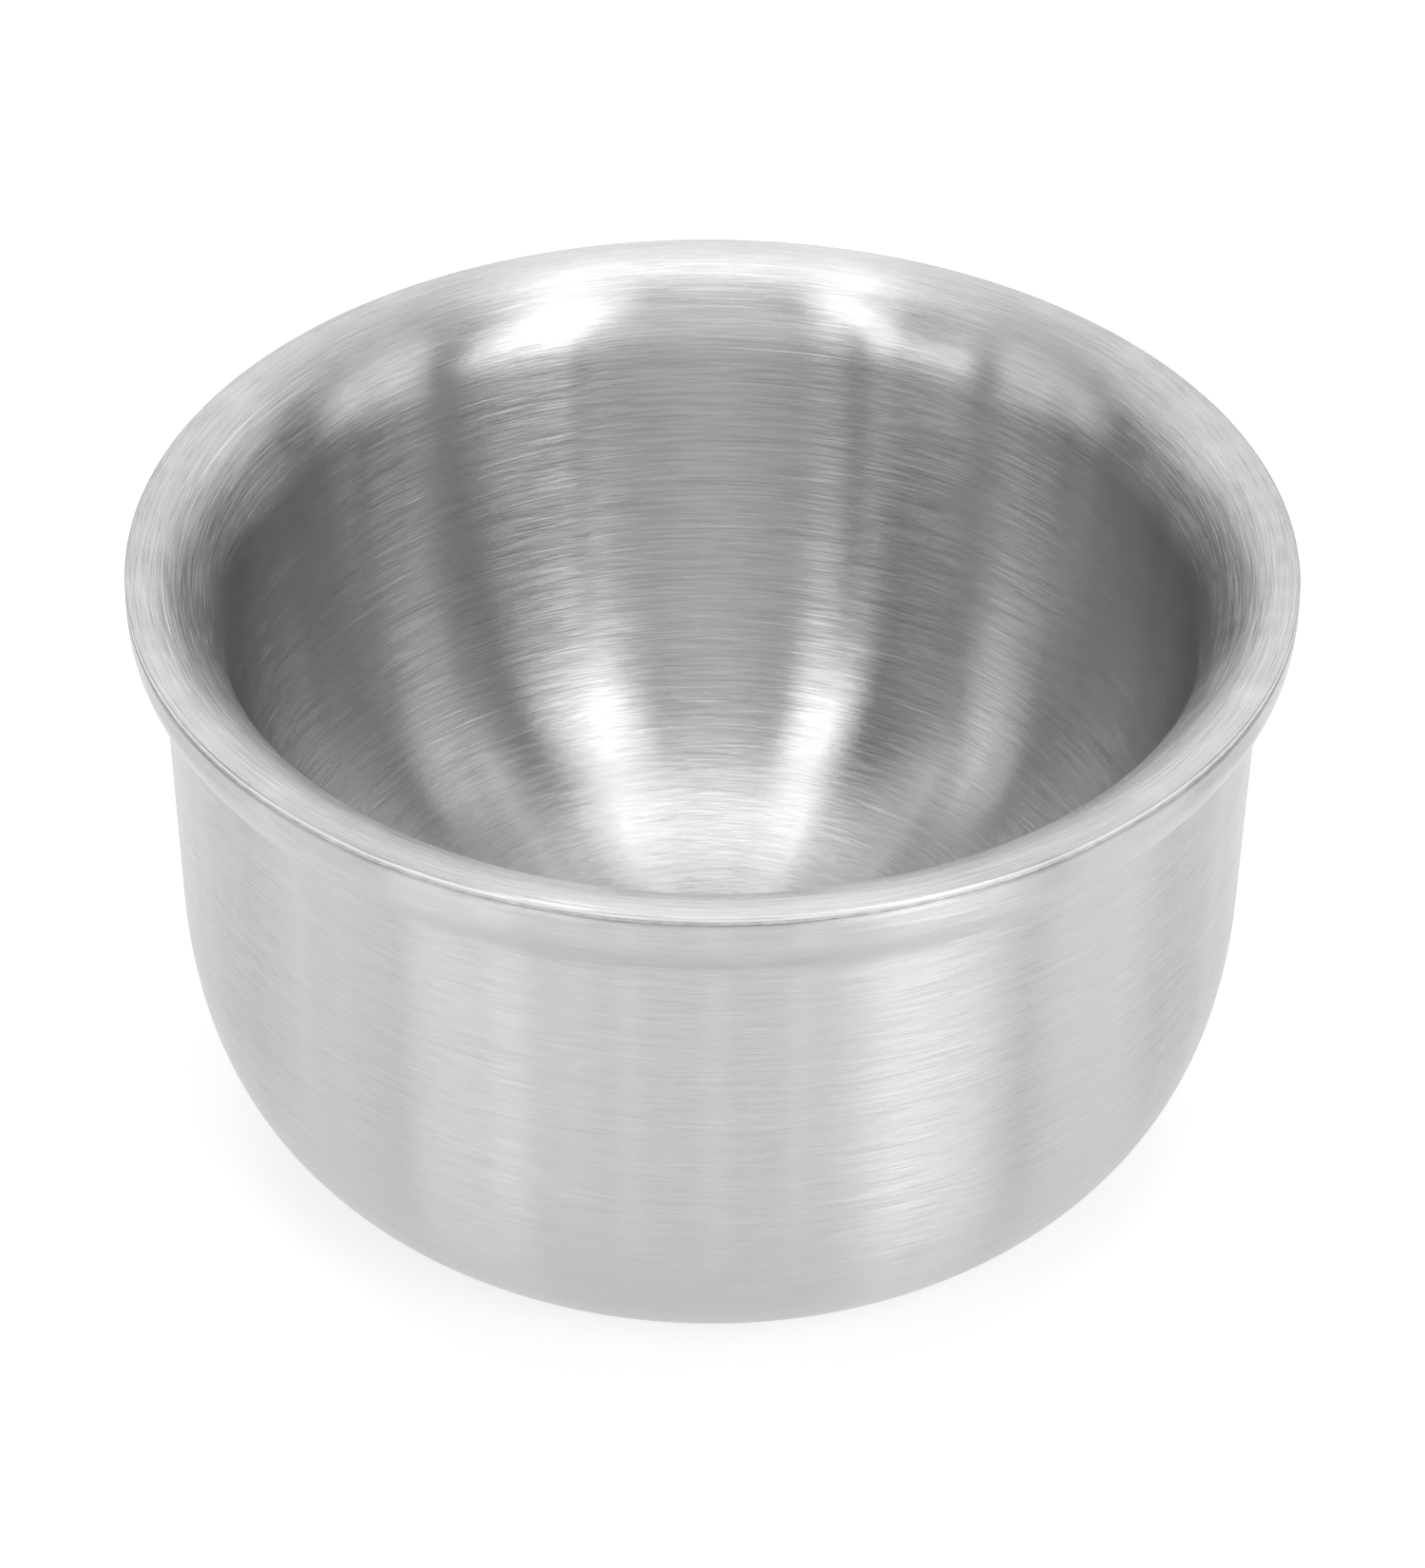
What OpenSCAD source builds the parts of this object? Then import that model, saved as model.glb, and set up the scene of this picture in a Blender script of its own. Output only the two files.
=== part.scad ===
// Double-walled shaving bowl in brushed stainless steel: a deep inner bowl whose lip rolls
// outwards, and an outer shell whose collar flares up to meet it, welded under the lip.
// The bowl stands on z = 0 with its axis on Z.

/* [Bowl] */
// Diameter over the rim
rim_d = 100; // [90:1:110]
// Height from the surface it stands on to the top of the lip
height = 57; // [52:1:64]
// Thickness of the sheet steel
sheet_t = 0.5; // [0.4:0.1:0.7]

/* [Lip] */
// Width of the flat ring at the outer edge of the lip
lip_flat = 0.6; // [0.6:0.05:1]
// Radius of the roll from the lip down into the inner wall
lip_roll_r = 7.5; // [6.5:0.5:9]
// Radius of the polished corners of the sheet's edges
edge_r = 0.15; // [0.05:0.05:0.15]

/* [Inner bowl] */
// Air gap between the two floors
floor_gap = 4.4; // [2.5:0.1:6]
// Squareness of the inner bowl's section: 2 is an ellipse, and more is squarer
squareness = 3.3; // [2.6:0.1:4]

/* [Seam] */
// Height of the welded seam under the lip
seam_h = 0.35; // [0.2:0.05:0.5]
// How far the seam lies behind the lip's edge
seam_inset = 0.25; // [0.15:0.05:0.3]

/* [Collar] */
// Height of the upright band at the top of the collar
band_h = 1.55; // [1:0.05:2.5]
// Radius of the shoulder under the band
shoulder_r = 5.5; // [4:0.5:7]
// Steepest slope of the shoulder, in degrees from upright
shoulder_slope = 48.6; // [40:0.2:52]
// Radius of the hollow where the collar meets the body
hollow_r = 2.9; // [2:0.1:4]

/* [Body] */
// Draft of the body's straight wall, in degrees
draft = 2; // [0.5:0.5:3]
// Radius of the first, gentlest bend below the straight wall
bend_1_r = 44; // [38:1:50]
// Radius of the second bend
bend_2_r = 28; // [24:1:32]
// Radius of the third bend
bend_3_r = 22; // [18:1:25]
// Radius of the fourth bend
bend_4_r = 20; // [16:1:22]
// Radius of the last bend, into the foot ring
bend_5_r = 10; // [7:1:12]

/* [Base] */
// Width of the flat ring that the bowl stands on
foot_w = 4; // [3:0.5:7]
// Depth of the pressed recess inside the foot ring
recess_h = 0.8; // [0.4:0.1:1.2]
// Radius of both bends of the recess's step
recess_bend_r = 1.5; // [1:0.1:2.5]
// Radius of the sealed vent at the middle of the base
vent_r = 1.6; // [1:0.1:2.5]

/* [Hidden] */
rim_r = rim_d / 2;
wall_r = rim_r - lip_flat - lip_roll_r;
inner_floor_z = floor_gap + 2 * sheet_t;
roll_foot_z = height - lip_roll_r;
collar_top_z = height - sheet_t - seam_h;
// Band's draft and the slope at the end of each bend of the body, in degrees from upright
band_draft = 1.6;
bend_1_end = 12;
bend_2_end = 25;
bend_3_end = 40;
bend_4_end = 60;
level = 90;
// Largest turn between two points of an arc, in degrees
arc_step = 4;
// Points along the inner bowl's section, below the roll
section_points = 40;
// How far the weld of the vent stands proud of the recessed base
vent_crown = 0.25;
$fn = 180;

// A point of a sheet's outline is [r, z, slope]: the slope is the way ahead in degrees from
// straight down, turning towards the axis.
function arc_end(from, bend_r, slope) = [
    from[0] - bend_r * (cos(from[2]) - cos(slope)),
    from[1] - bend_r * (sin(slope) - sin(from[2])),
    slope
];
// Points of an arc after its start: a bend_r below zero turns away from the axis
function arc(from, bend_r, slope) = let (count = ceil(abs(slope - from[2]) / arc_step)) [
    for (i = [1:count]) arc_end(from, bend_r, from[2] + (slope - from[2]) * i / count)
];
function straight(from, length) = [[
    from[0] - length * sin(from[2]),
    from[1] - length * cos(from[2]),
    from[2]
]];
function last(points) = points[len(points) - 1];
// The same outline, set off by the sheet's thickness towards the inside of the shell
function set_off(points, t) = [
    for (p = points) [p[0] - t * cos(p[2]), p[1] + t * sin(p[2])]
];
function flat(points) = [for (p = points) [p[0], p[1]]];
function reversed(points) = [for (i = [len(points) - 1:-1:0]) points[i]];

// Outer shell's outline, from the collar's top edge down to the middle of the base
collar_top = [rim_r - edge_r, collar_top_z];
band_top = [rim_r, collar_top_z - edge_r, band_draft];
band = straight(band_top, band_h - edge_r);
shoulder = arc(last(band), shoulder_r, shoulder_slope);
hollow = arc(last(shoulder), -hollow_r, draft);
bend_turns = [
    [bend_1_r, draft, bend_1_end],
    [bend_2_r, bend_1_end, bend_2_end],
    [bend_3_r, bend_2_end, bend_3_end],
    [bend_4_r, bend_3_end, bend_4_end],
    [bend_5_r, bend_4_end, level]
];
function bend_drop(turn) = turn[0] * (sin(turn[2]) - sin(turn[1]));
function total(values, i = 0) = i == len(values) ? 0 : values[i] + total(values, i + 1);
bends_h = total([for (turn = bend_turns) bend_drop(turn)]);
wall = straight(last(hollow), (last(hollow)[1] - bends_h) / cos(draft));
bend_1 = arc(last(wall), bend_1_r, bend_1_end);
bend_2 = arc(last(bend_1), bend_2_r, bend_2_end);
bend_3 = arc(last(bend_2), bend_3_r, bend_3_end);
bend_4 = arc(last(bend_3), bend_4_r, bend_4_end);
bend_5 = arc(last(bend_4), bend_5_r, level);
foot = straight(last(bend_5), foot_w);
recess_turn = acos(1 - recess_h / (2 * recess_bend_r));
step_up = arc(last(foot), recess_bend_r, level + recess_turn);
step_in = arc(last(step_up), -recess_bend_r, level);
recess_z = last(step_in)[1];
shell_outline = concat(
    [band_top], band, shoulder, hollow, wall, bend_1, bend_2, bend_3, bend_4, bend_5,
    foot, step_up, step_in
);

// Inner bowl's outline, on the side that holds the lather
function roll_point(turn, r) = [
    rim_r - lip_flat - r * sin(turn),
    roll_foot_z + r * cos(turn)
];
function roll(r) = [for (turn = [0:arc_step + 1:90]) roll_point(turn, r)];
section_h = roll_foot_z - inner_floor_z;
function section_point(turn) = [
    wall_r * pow(cos(turn), 2 / squareness),
    roll_foot_z - section_h * pow(sin(turn), 2 / squareness)
];
function section_normal(turn) = let (
    across = pow(cos(turn), 2 - 2 / squareness) / wall_r,
    down = pow(sin(turn), 2 - 2 / squareness) / section_h
) [across, -down] / norm([across, down]);
// Turns that crowd towards both ends, where the section's bend is widest
function section_turn(i) = 45 - 45 * cos(180 * i / section_points);
function section(t) = [
    for (i = [1:section_points - 1])
        section_point(section_turn(i)) + t * section_normal(section_turn(i))
];

// A quarter of the rounded corner of a sheet's edge, around its centre
function corner(centre, from) = [
    for (turn = [from:-30:from - 90]) centre + edge_r * [cos(turn), sin(turn)]
];

// Deep-drawn bowl with its lip rolled outwards
module inner_bowl() {
    color("silver")
    rotate_extrude()
    polygon(concat(
        [[0, inner_floor_z]],
        reversed(section(0)),
        reversed(roll(lip_roll_r)),
        corner([rim_r - edge_r, height - edge_r], 90),
        corner([rim_r - edge_r, height - sheet_t + edge_r], 0),
        roll(lip_roll_r - sheet_t),
        section(sheet_t),
        [[0, inner_floor_z - sheet_t]]
    ));
}

// Outer pressing: collar, body, foot ring and recessed base, open at the vent
module outer_shell() {
    color("lightgray")
    rotate_extrude()
    polygon(concat(
        [collar_top],
        flat(shell_outline),
        [[vent_r, recess_z], [vent_r, recess_z + sheet_t]],
        reversed(set_off(shell_outline, sheet_t)),
        [[rim_r - sheet_t, collar_top_z]]
    ));
}

// Ring of weld that fills the joint between the lip and the collar's top edge
module rim_weld() {
    color("dimgray")
    translate([0, 0, collar_top_z])
    difference() {
        cylinder(h = seam_h, r = rim_r - seam_inset);
        translate([0, 0, -seam_h])
        cylinder(h = 3 * seam_h, r = rim_r - sheet_t);
    }
}

// Weld that seals the vent in the base, a little proud of the recess
module vent_seal() {
    color("gray")
    translate([0, 0, recess_z - vent_crown])
    cylinder(h = sheet_t + vent_crown, r = vent_r);
}

inner_bowl();
outer_shell();
rim_weld();
vent_seal();
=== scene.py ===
"""Double-walled shaving bowl in brushed stainless steel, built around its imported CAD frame."""
import math

import bpy
from mathutils import Matrix, Vector

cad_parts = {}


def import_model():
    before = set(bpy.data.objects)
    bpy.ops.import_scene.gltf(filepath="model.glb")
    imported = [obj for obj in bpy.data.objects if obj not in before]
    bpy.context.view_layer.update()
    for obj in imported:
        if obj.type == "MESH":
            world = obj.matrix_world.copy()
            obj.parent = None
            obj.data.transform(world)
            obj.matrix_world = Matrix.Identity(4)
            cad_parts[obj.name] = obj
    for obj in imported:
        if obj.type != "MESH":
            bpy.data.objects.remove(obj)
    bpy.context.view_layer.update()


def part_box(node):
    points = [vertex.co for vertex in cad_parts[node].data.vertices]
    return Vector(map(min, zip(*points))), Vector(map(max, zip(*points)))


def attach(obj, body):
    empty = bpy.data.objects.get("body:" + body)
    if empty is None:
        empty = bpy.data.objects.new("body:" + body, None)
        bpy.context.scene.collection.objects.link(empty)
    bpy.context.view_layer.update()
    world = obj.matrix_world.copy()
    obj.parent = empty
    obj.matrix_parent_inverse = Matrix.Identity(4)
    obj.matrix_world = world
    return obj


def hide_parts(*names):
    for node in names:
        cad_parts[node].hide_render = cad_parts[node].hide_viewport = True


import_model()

MM = 0.001

# ---------------------------------------------------------------- dimensions, in millimetres
rim_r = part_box("inner_bowl")[1][0] / MM
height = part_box("inner_bowl")[1][2] / MM
inner_floor_under_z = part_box("inner_bowl")[0][2] / MM
sheet_t = 0.5
lip_flat = 0.6
lip_roll_r = 7.5
edge_r = 0.15
squareness = 3.3
seam_h = 0.35
wall_r = rim_r - lip_flat - lip_roll_r
roll_foot_z = height - lip_roll_r
inner_floor_z = inner_floor_under_z + sheet_t
collar_top_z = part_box("outer_shell")[1][2] / MM
band_h = 1.55
band_draft = 1.6
shoulder_r = 5.5
shoulder_slope = 48.6
hollow_r = 2.9
draft = 2.0
# Radius of each bend of the body and its slope at the end, in degrees from upright
bends = [(44, 12), (28, 25), (22, 40), (20, 60), (10, 90)]
recess_h = 0.8
recess_bend_r = 1.5
foot_w = 4.0
vent_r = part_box("vent_seal")[1][0] / MM
vent_crown = 0.25
bead_inset = 0.05
scallop_h = 0.012
scallops = 260
nugget_ring_h = 0.02


def arc(start, radius, end_slope, step=1.5):
    """Points of an arc after its start (r, z, slope); slope in degrees from straight down."""
    r, z, slope = start
    count = max(2, math.ceil(abs(end_slope - slope) / step))
    points = []
    for i in range(1, count + 1):
        a = slope + (end_slope - slope) * i / count
        points.append((
            r - radius * (math.cos(math.radians(slope)) - math.cos(math.radians(a))),
            z - radius * (math.sin(math.radians(a)) - math.sin(math.radians(slope))),
            a,
        ))
    return points


def straight(start, length, pieces):
    """Points of a straight stretch after its start, down along its slope."""
    r, z, slope = start
    a = math.radians(slope)
    return [
        (r - length * i / pieces * math.sin(a), z - length * i / pieces * math.cos(a), slope)
        for i in range(1, pieces + 1)
    ]


def set_off(points, t):
    """The same outline on the other face of the sheet."""
    return [
        (r - t * math.cos(math.radians(a)), z + t * math.sin(math.radians(a)))
        for r, z, a in points
    ]


def shell_outline():
    """The outer shell's outside, from the collar's top edge to the middle of the base."""
    points = [(rim_r, collar_top_z - edge_r, band_draft)]
    points += straight(points[-1], band_h - edge_r, 4)
    points += arc(points[-1], shoulder_r, shoulder_slope)
    points += arc(points[-1], -hollow_r, draft)
    drop, slope = 0.0, draft
    for radius, end_slope in bends:
        drop += radius * (math.sin(math.radians(end_slope)) - math.sin(math.radians(slope)))
        slope = end_slope
    wall_h = (points[-1][1] - drop) / math.cos(math.radians(draft))
    points += straight(points[-1], wall_h, 12)
    for radius, end_slope in bends:
        points += arc(points[-1], radius, end_slope)
    points += straight(points[-1], foot_w, 3)
    turn = math.degrees(math.acos(1 - recess_h / (2 * recess_bend_r)))
    points += arc(points[-1], recess_bend_r, 90 + turn, 4)
    points += arc(points[-1], -recess_bend_r, 90, 4)
    return points


def lathe(name, outline, segments=256, ripple=None):
    """A closed solid of revolution: U goes round the axis and V along the outline, in metres.

    ripple(r, z, a) gives the place of a point at angle a, where the solid isn't quite round.
    """
    along = [0.0]
    for (r0, z0), (r1, z1) in zip(outline, outline[1:]):
        along.append(along[-1] + math.hypot(r1 - r0, z1 - z0) * MM)
    verts, rows = [], []
    for r, z in outline:
        if r < 1e-6:
            rows.append([len(verts)] * segments)
            verts.append((0, 0, z * MM))
            continue
        rows.append(list(range(len(verts), len(verts) + segments)))
        for s in range(segments):
            a = 2 * math.pi * s / segments
            at_r, at_z = ripple(r, z, a) if ripple else (r, z)
            verts.append((at_r * MM * math.cos(a), at_r * MM * math.sin(a), at_z * MM))
    faces, uvs = [], []
    for j in range(len(outline) - 1):
        for s in range(segments):
            n = (s + 1) % segments
            u0, u1, v0, v1 = s / segments, (s + 1) / segments, along[j], along[j + 1]
            quad = [(rows[j][s], u0, v0), (rows[j][n], u1, v0),
                    (rows[j + 1][n], u1, v1), (rows[j + 1][s], u0, v1)]
            if rows[j][s] == rows[j][n]:
                quad.pop(1)
            elif rows[j + 1][s] == rows[j + 1][n]:
                quad.pop(2)
            faces.append([q[0] for q in quad])
            uvs += [(q[1], q[2]) for q in quad]
    mesh = bpy.data.meshes.new(name)
    mesh.from_pydata(verts, [], faces)
    layer = mesh.uv_layers.new(name="round_and_along")
    for loop, uv in zip(layer.data, uvs):
        loop.uv = uv
    mesh.validate()
    for polygon in mesh.polygons:
        polygon.use_smooth = True
    obj = bpy.data.objects.new(name, mesh)
    bpy.context.scene.collection.objects.link(obj)
    return obj


def edge_corner(r, z, start):
    """Quarter round about r, z, from the angle start down through 90 degrees."""
    angles = [math.radians(start - t) for t in range(0, 91, 15)]
    return [(r + edge_r * math.cos(a), z + edge_r * math.sin(a)) for a in angles]


def roll(radius):
    """The lip's quarter round, from its top down to the wall."""
    angles = [math.radians(2.5 * i) for i in range(37)]
    return [(rim_r - lip_flat - radius * math.sin(a), roll_foot_z + radius * math.cos(a))
            for a in angles]


def section(t):
    """The inner bowl below the roll, set off by t: a superellipse, its points close at both ends."""
    depth = roll_foot_z - inner_floor_z
    count = 120
    points = []
    for i in range(1, count):
        a = math.radians(45 - 45 * math.cos(math.pi * i / count))
        c, s = math.cos(a), math.sin(a)
        across = c ** (2 - 2 / squareness) / wall_r
        down = s ** (2 - 2 / squareness) / depth
        size = math.hypot(across, down)
        points.append((wall_r * c ** (2 / squareness) + t * across / size,
                       roll_foot_z - depth * s ** (2 / squareness) - t * down / size))
    return points


class Tree:
    """Short calls for the nodes of a material or of the world."""

    def __init__(self, material):
        self.nodes, self.links = material.node_tree.nodes, material.node_tree.links

    def plug(self, socket, value):
        if isinstance(value, (int, float)):
            socket.default_value = value
        else:
            self.links.new(value, socket)

    def math(self, operation, a, b=0.0, c=0.0):
        node = self.nodes.new("ShaderNodeMath")
        node.operation = operation
        for socket, value in zip(node.inputs, (a, b, c)):
            self.plug(socket, value)
        return node.outputs[0]

    def noise(self, vector, detail=2.0, roughness=0.5):
        node = self.nodes.new("ShaderNodeTexNoise")
        node.inputs["Scale"].default_value = 1
        node.inputs["Detail"].default_value = detail
        node.inputs["Roughness"].default_value = roughness
        self.links.new(vector, node.inputs["Vector"])
        return node.outputs["Fac"]

    def vector(self, x, y, z):
        node = self.nodes.new("ShaderNodeCombineXYZ")
        for socket, value in zip(node.inputs, (x, y, z)):
            self.plug(socket, value)
        return node.outputs[0]

    def scaled(self, vector, scale):
        node = self.nodes.new("ShaderNodeVectorMath")
        node.operation = "SCALE"
        self.links.new(vector, node.inputs[0])
        self.plug(node.inputs["Scale"], scale)
        return node.outputs[0]

    def spread(self, value, low, high, to_low=0.0, to_high=1.0, smooth=False):
        """The value, moved from the range low..high to the range to_low..to_high."""
        node = self.nodes.new("ShaderNodeMapRange")
        if smooth:
            node.interpolation_type = "SMOOTHSTEP"
        for socket, v in zip(node.inputs, (value, low, high, to_low, to_high)):
            self.plug(socket, v)
        return node.outputs[0]

    def tinted(self, tone, tints):
        """A colour from one grey tone and a factor for each of red, green and blue."""
        node = self.nodes.new("ShaderNodeCombineColor")
        for socket, tint in zip(node.inputs, tints):
            self.links.new(self.math("MULTIPLY", tone, tint), socket)
        return node.outputs[0]


def brushing(tree, around, along, shift):
    """Where to sample a noise that is drawn out round the axis.

    around is its cells per radian round the axis, along its cells per metre of the outline.
    """
    uv = tree.nodes.new("ShaderNodeUVMap")
    split = tree.nodes.new("ShaderNodeSeparateXYZ")
    tree.links.new(uv.outputs[0], split.inputs[0])
    turn = tree.math("MULTIPLY", split.outputs[0], 2 * math.pi)
    x = tree.math("MULTIPLY_ADD", tree.math("COSINE", turn), around, shift)
    y = tree.math("MULTIPLY_ADD", tree.math("SINE", turn), around, shift / 3)
    return tree.vector(x, y, tree.math("MULTIPLY", split.outputs[1], along))


def steel(name, grey, roughness, fan, peak, marks):
    """Steel brushed round the axis.

    fan is how far the walls of its finest grooves tilt, as a slope, and peak how few of them
    tilt that far. marks is the depth of the brushing that the eye makes out.
    """
    material = bpy.data.materials.new(name)
    material.use_nodes = True
    tree = Tree(material)
    shader = material.node_tree.nodes["Principled BSDF"]
    shader.inputs["Metallic"].default_value = 1
    shader.inputs["Anisotropic"].default_value = 1
    shader.inputs["Anisotropic Rotation"].default_value = 0.25
    tangent = material.node_tree.nodes.new("ShaderNodeTangent")
    tangent.direction_type = "RADIAL"
    tangent.axis = "Z"
    tree.links.new(tangent.outputs[0], shader.inputs["Tangent"])
    hair = tree.noise(brushing(tree, 6.7, 210000, 1.93), 1, 0.7)
    fine = tree.noise(brushing(tree, 8.4, 6500, 3.17), 2, 0.6)
    strokes = tree.noise(brushing(tree, 4, 1800, 7.7), 2)
    scratch = tree.noise(brushing(tree, 2.2, 2600, 11.3), 1)
    scratches = tree.spread(scratch, 0.70, 0.78)
    patches = tree.noise(brushing(tree, 1.2, 60, 5.9), 2)
    tilt = tree.spread(hair, 0.2, 0.8, -1.0, 1.0)
    tilt = tree.math("MULTIPLY", tree.math("SIGN", tilt),
                     tree.math("POWER", tree.math("ABSOLUTE", tilt), peak))
    fine_slope, stroke_slope, scratch_slope = 0.04 * marks, 0.02 * marks, 0.2 * marks
    slope = tree.math("MULTIPLY", tilt, fan)
    slope = tree.math("ADD", slope, tree.spread(fine, 0.2, 0.8, -fine_slope, fine_slope))
    slope = tree.math("ADD", slope, tree.spread(strokes, 0.2, 0.8, -stroke_slope, stroke_slope))
    slope = tree.math("ADD", slope, tree.math("MULTIPLY", scratches, scratch_slope))
    normal = tilted_normal(tree, tangent.outputs[0], slope)
    tree.links.new(normal, shader.inputs["Normal"])
    stroke_tone, fine_tone, scratch_tone = 0.014 * marks, 0.035 * marks, 0.06 * marks
    tone = tree.spread(strokes, 0.3, 0.7, grey - stroke_tone, grey + stroke_tone)
    tone = tree.math("ADD", tone, tree.spread(fine, 0.3, 0.7, -fine_tone, fine_tone))
    tone = tree.math("ADD", tone, tree.math("MULTIPLY", scratches, scratch_tone))
    tree.links.new(tree.tinted(tone, (1.0, 1.0, 1.003)), shader.inputs["Base Color"])
    tree.links.new(tree.spread(patches, 0.3, 0.7, roughness * 0.95, roughness * 1.05),
                   shader.inputs["Roughness"])
    return material


def weld(name, grey):
    """Bare weld metal: dull and rippled, with a faint straw tint from the heat."""
    material = bpy.data.materials.new(name)
    material.use_nodes = True
    tree = Tree(material)
    shader = material.node_tree.nodes["Principled BSDF"]
    shader.inputs["Metallic"].default_value = 1
    place = tree.nodes.new("ShaderNodeTexCoord").outputs["Object"]
    coarse = tree.noise(tree.scaled(place, 900), 2)
    grain = tree.noise(tree.scaled(place, 5200), 2, 0.6)
    tone = tree.math("ADD", tree.spread(coarse, 0.3, 0.7, grey * 0.8, grey * 1.15),
                     tree.spread(grain, 0.3, 0.7, -0.03, 0.03))
    tree.links.new(tree.tinted(tone, (1.03, 1.0, 0.93)), shader.inputs["Base Color"])
    tree.links.new(tree.spread(grain, 0.3, 0.7, 0.38, 0.52), shader.inputs["Roughness"])
    bump = tree.nodes.new("ShaderNodeBump")
    bump.inputs["Strength"].default_value = 0.5
    bump.inputs["Distance"].default_value = 0.00006
    tree.links.new(coarse, bump.inputs["Height"])
    tree.links.new(bump.outputs[0], shader.inputs["Normal"])
    return material


def tilted_normal(tree, round_axis, slope):
    """The surface's normal, tilted by slope across the brushing."""
    surface = tree.nodes.new("ShaderNodeNewGeometry").outputs["Normal"]
    across = tree.nodes.new("ShaderNodeVectorMath")
    across.operation = "CROSS_PRODUCT"
    tree.links.new(round_axis, across.inputs[0])
    tree.links.new(surface, across.inputs[1])
    added = tree.nodes.new("ShaderNodeVectorMath")
    added.operation = "ADD"
    tree.links.new(surface, added.inputs[0])
    tree.links.new(tree.scaled(across.outputs[0], slope), added.inputs[1])
    unit = tree.nodes.new("ShaderNodeVectorMath")
    unit.operation = "NORMALIZE"
    tree.links.new(added.outputs[0], unit.inputs[0])
    return unit.outputs[0]


inner_outline = (
    [(0, inner_floor_z)] + section(0)[::-1] + roll(lip_roll_r)[::-1]
    + edge_corner(rim_r - edge_r, height - edge_r, 90)
    + edge_corner(rim_r - edge_r, height - sheet_t + edge_r, 0)
    + roll(lip_roll_r - sheet_t) + section(sheet_t) + [(0, inner_floor_z - sheet_t)]
)
inner = lathe("inner_bowl_brushed", inner_outline)
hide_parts("inner_bowl")
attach(inner, "root")
inner.data.materials.append(steel("inner_brushed_steel", 0.63, 0.21, 1.75, 1.7, 0.9))

outside = shell_outline()
recess_z = outside[-1][1]
outer_outline = (
    [(rim_r - edge_r, collar_top_z)] + [(r, z) for r, z, a in outside]
    + [(vent_r, recess_z), (vent_r, recess_z + sheet_t)] + set_off(outside, sheet_t)[::-1]
    + [(rim_r - sheet_t, collar_top_z), (rim_r - edge_r, collar_top_z)]
)
outer = lathe("outer_shell_brushed", outer_outline)
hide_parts("outer_shell")
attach(outer, "root")
# The outer steel's grey, 0.525 against the inner bowl's 0.63, is partly the steel's own tone and
# partly painted shade that offsets the bright floor it reflects.
outer.data.materials.append(steel("outer_brushed_steel", 0.525, 0.25, 1.5, 1.0, 0.55))


def bead():
    """Outline of the weld under the lip: a ring ground nearly flush, its outer face bulging."""
    back_r = rim_r - sheet_t
    deep = rim_r - bead_inset - back_r
    steps = 8
    face = [(back_r + deep * (0.8 + 0.2 * math.sin(math.pi * i / steps)),
             collar_top_z + seam_h * i / steps) for i in range(steps + 1)]
    return ([(back_r, collar_top_z)] + face
            + [(back_r, collar_top_z + seam_h), (back_r, collar_top_z)])


def bead_ripple(r, z, a):
    """The small scallops that a weld leaves as it goes round."""
    if r <= rim_r - sheet_t:
        return r, z
    return r - scallop_h * (1 + math.sin(scallops * a + 0.6 * math.sin(9 * a))), z


def nugget():
    """Outline of the weld that seals the vent, with rings frozen into its crown."""
    steps = 24
    crown = []
    for i in range(steps + 1):
        out = i / steps
        dome = vent_crown * (1 - out ** 2) ** 0.7
        ring = nugget_ring_h * (1 + math.sin(i * 1.3)) * (1 - out)
        crown.append((vent_r * i / steps, recess_z - dome + ring))
    return [(0, recess_z + sheet_t), (vent_r, recess_z + sheet_t)] + crown[::-1]


def nugget_ripple(r, z, a):
    """The nugget's edge, slightly out of round."""
    return r * (0.985 + 0.015 * math.sin(3 * a) * math.sin(5 * a + 1)), z


seam = lathe("rim_weld_bead", bead(), 4 * scallops, bead_ripple)
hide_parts("rim_weld")
vent = lathe("vent_seal_nugget", nugget(), 96, nugget_ripple)
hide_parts("vent_seal")
for piece in (seam, vent):
    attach(piece, "root")
    piece.data.materials.append(weld(piece.name + "_metal", 0.46))


# ---------------------------------------------------------------- studio
def camera():
    """The camera at the photograph's angle, fitted to the bowl's rim and silhouette there."""
    elevation = math.radians(37.09)
    distance = 0.6
    roll_angle = math.radians(0.44)
    aim_below_rim = 24.4
    target = Vector((0, 0, (height - aim_below_rim) * MM))
    data = bpy.data.cameras.new("camera")
    data.sensor_width = 36
    data.lens = 157.8
    data.shift_x = 0.00103
    data.clip_start = 0.01
    data.clip_end = 50
    cam = bpy.data.objects.new("camera", data)
    bpy.context.scene.collection.objects.link(cam)
    back = Vector((0, -math.cos(elevation), math.sin(elevation)))
    turn = (-back).to_track_quat("-Z", "Y").to_matrix().to_4x4()
    cam.matrix_world = (Matrix.Translation(target + back * distance) @ turn
                        @ Matrix.Rotation(roll_angle, 4, "Z"))
    bpy.context.scene.camera = cam


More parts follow.
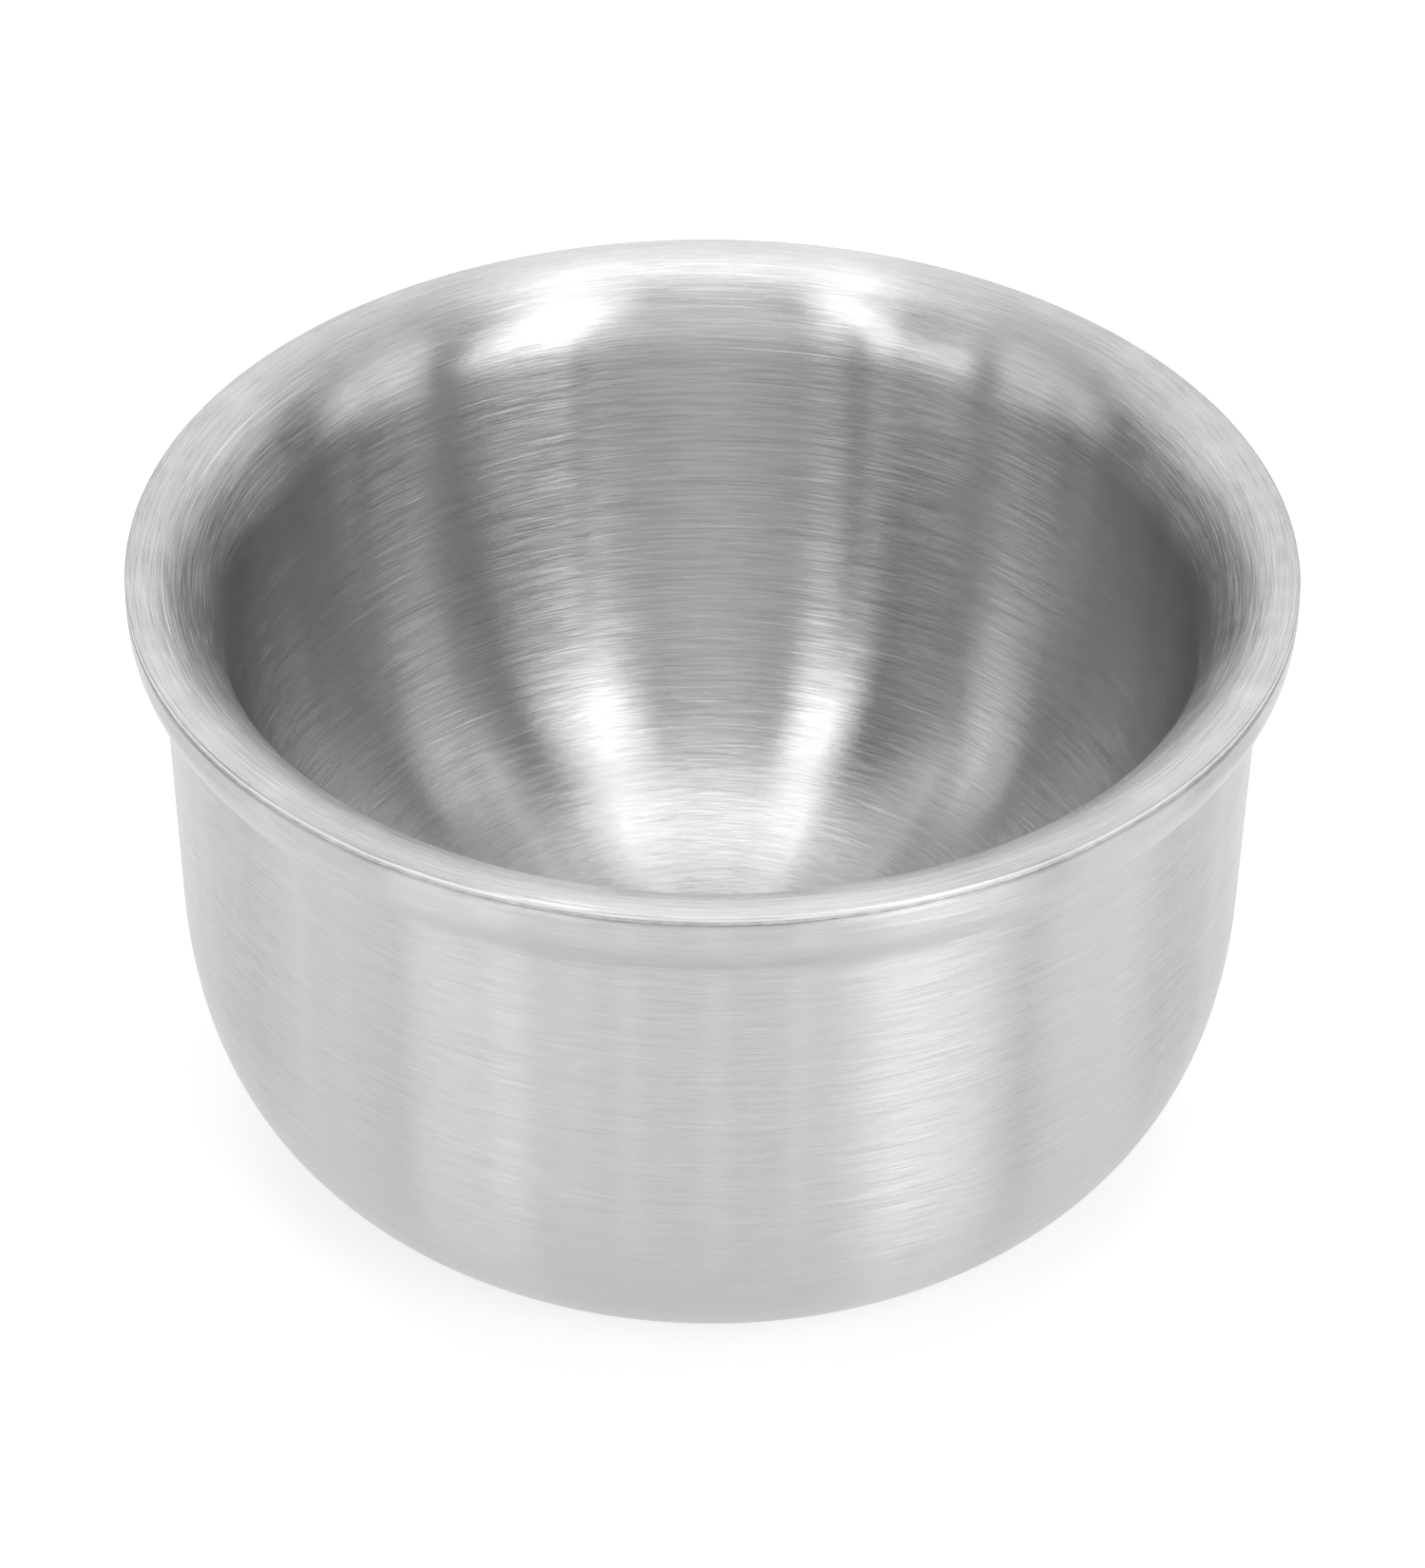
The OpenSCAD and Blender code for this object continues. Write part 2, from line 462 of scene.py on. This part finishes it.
def floor():
    """A plain pale floor that glows, less so round the bowl, and so shows almost no shadow."""
    mesh = bpy.data.meshes.new("floor")
    half, under = 3.0, -0.0001
    mesh.from_pydata([(-half, -half, under), (half, -half, under), (half, half, under),
                      (-half, half, under)], [], [(0, 1, 2, 3)])
    obj = bpy.data.objects.new("floor", mesh)
    bpy.context.scene.collection.objects.link(obj)
    material = bpy.data.materials.new("floor")
    material.use_nodes = True
    shader = material.node_tree.nodes["Principled BSDF"]
    shader.inputs["Base Color"].default_value = (0.6, 0.6, 0.6, 1)
    shader.inputs["Roughness"].default_value = 0.9
    shader.inputs["Specular IOR Level"].default_value = 0.1
    shader.inputs["Emission Color"].default_value = (1, 1, 1, 1)
    tree = Tree(material)
    apart = tree.nodes.new("ShaderNodeVectorMath")
    apart.operation = "LENGTH"
    tree.links.new(tree.nodes.new("ShaderNodeTexCoord").outputs["Object"], apart.inputs[0])
    # The glow is dimmer round the bowl: painted shade round the base, which the bowl's lower sides
    # reflect.
    near, far = 0.05, 0.14
    glow = tree.spread(apart.outputs["Value"], near, far, 0.58, 0.84)
    tree.links.new(glow, shader.inputs["Emission Strength"])
    mesh.materials.append(material)


def panel(tree, turn, rise, level, azimuth=0, lean=0, half_width=None, soft=10, bottom=None,
          top=None, blur=10):
    """A far soft panel of light, its angles in degrees: azimuth 0 is over the camera.

    lean is how far its azimuth shifts between the horizon and 50 degrees up. It ends at
    half_width to each side and at the heights bottom and top, where it has them. soft and blur
    are the half widths of those edges. Without a half_width it goes all the way round.
    """
    light = level
    if half_width:
        centre = tree.math("MULTIPLY_ADD", tree.math("MAXIMUM", rise, 0), lean / 50, azimuth)
        off = tree.math("WRAP", tree.math("SUBTRACT", turn, centre), 180, -180)
        edge = tree.spread(tree.math("ABSOLUTE", off), half_width - soft, half_width + soft,
                           smooth=True)
        light = tree.math("MULTIPLY", tree.math("SUBTRACT", 1, edge), light)
    if bottom is not None:
        above = tree.spread(rise, bottom - blur, bottom + blur, smooth=True)
        light = tree.math("MULTIPLY", above, light)
    if top is not None:
        edge = tree.spread(rise, top - blur, top + blur, smooth=True)
        light = tree.math("MULTIPLY", tree.math("SUBTRACT", 1, edge), light)
    return light


def world():
    """White studio: a softbox on each side of the camera, one overhead, and cards all round.

    The angles and levels were fitted to the photograph's reflections and then changed.
    Seen directly, the studio is plain white.
    """
    studio = bpy.data.worlds.new("studio")
    bpy.context.scene.world = studio
    studio.use_nodes = True
    tree = Tree(studio)
    split = tree.nodes.new("ShaderNodeSeparateXYZ")
    tree.links.new(tree.nodes.new("ShaderNodeTexCoord").outputs["Generated"], split.inputs[0])
    x, y, z = split.outputs
    turn = tree.math("DEGREES", tree.math("ARCTAN2", x, tree.math("MULTIPLY", y, -1)))
    rise = tree.math("DEGREES", tree.math("ARCSINE", z))
    panels = [
        # Softbox on the left, its low part and its high part
        panel(tree, turn, rise, 2.5, azimuth=-47, half_width=12, soft=4, top=26, blur=6),
        panel(tree, turn, rise, 2.8, azimuth=-34, half_width=9, soft=4, bottom=26, top=62, blur=6),
        # Softbox on the right, leaning in
        panel(tree, turn, rise, 3.1, azimuth=47, lean=-13, half_width=13.5, soft=4, top=57, blur=7),
        # Cards over the camera, low and high
        panel(tree, turn, rise, 1.3, azimuth=0, half_width=25, soft=10, top=28, blur=6),
        panel(tree, turn, rise, 0.7, azimuth=0, half_width=18, soft=10, bottom=38, top=60, blur=8),
        # Cards at the left and right sides
        panel(tree, turn, rise, 1.0, azimuth=-80, half_width=15, soft=6, top=56),
        panel(tree, turn, rise, 1.3, azimuth=81, half_width=14, soft=5, top=52, blur=8),
        # Cards behind, a broad high one and a narrow low one
        panel(tree, turn, rise, 1.1, azimuth=181, half_width=66, soft=17, bottom=24, top=56),
        panel(tree, turn, rise, 0.9, azimuth=181, half_width=14, soft=10, top=32),
        # Softbox overhead, and its spill towards the back
        panel(tree, turn, rise, 1.8, bottom=72, blur=9),
        panel(tree, turn, rise, 1.3, azimuth=180, half_width=95, soft=25, bottom=62, blur=10),
    ]
    total = panels[0]
    for light in panels[1:]:
        total = tree.math("ADD", total, light)
    background = tree.nodes["Background"]
    background.inputs["Color"].default_value = (1, 1, 1, 1)
    seen = tree.nodes.new("ShaderNodeLightPath").outputs["Is Camera Ray"]
    lit = tree.math("MULTIPLY", total, tree.math("SUBTRACT", 1, seen))
    tree.links.new(tree.math("ADD", lit, seen), background.inputs["Strength"])


camera()
floor()
world()
bpy.context.scene.view_settings.view_transform = "Standard"
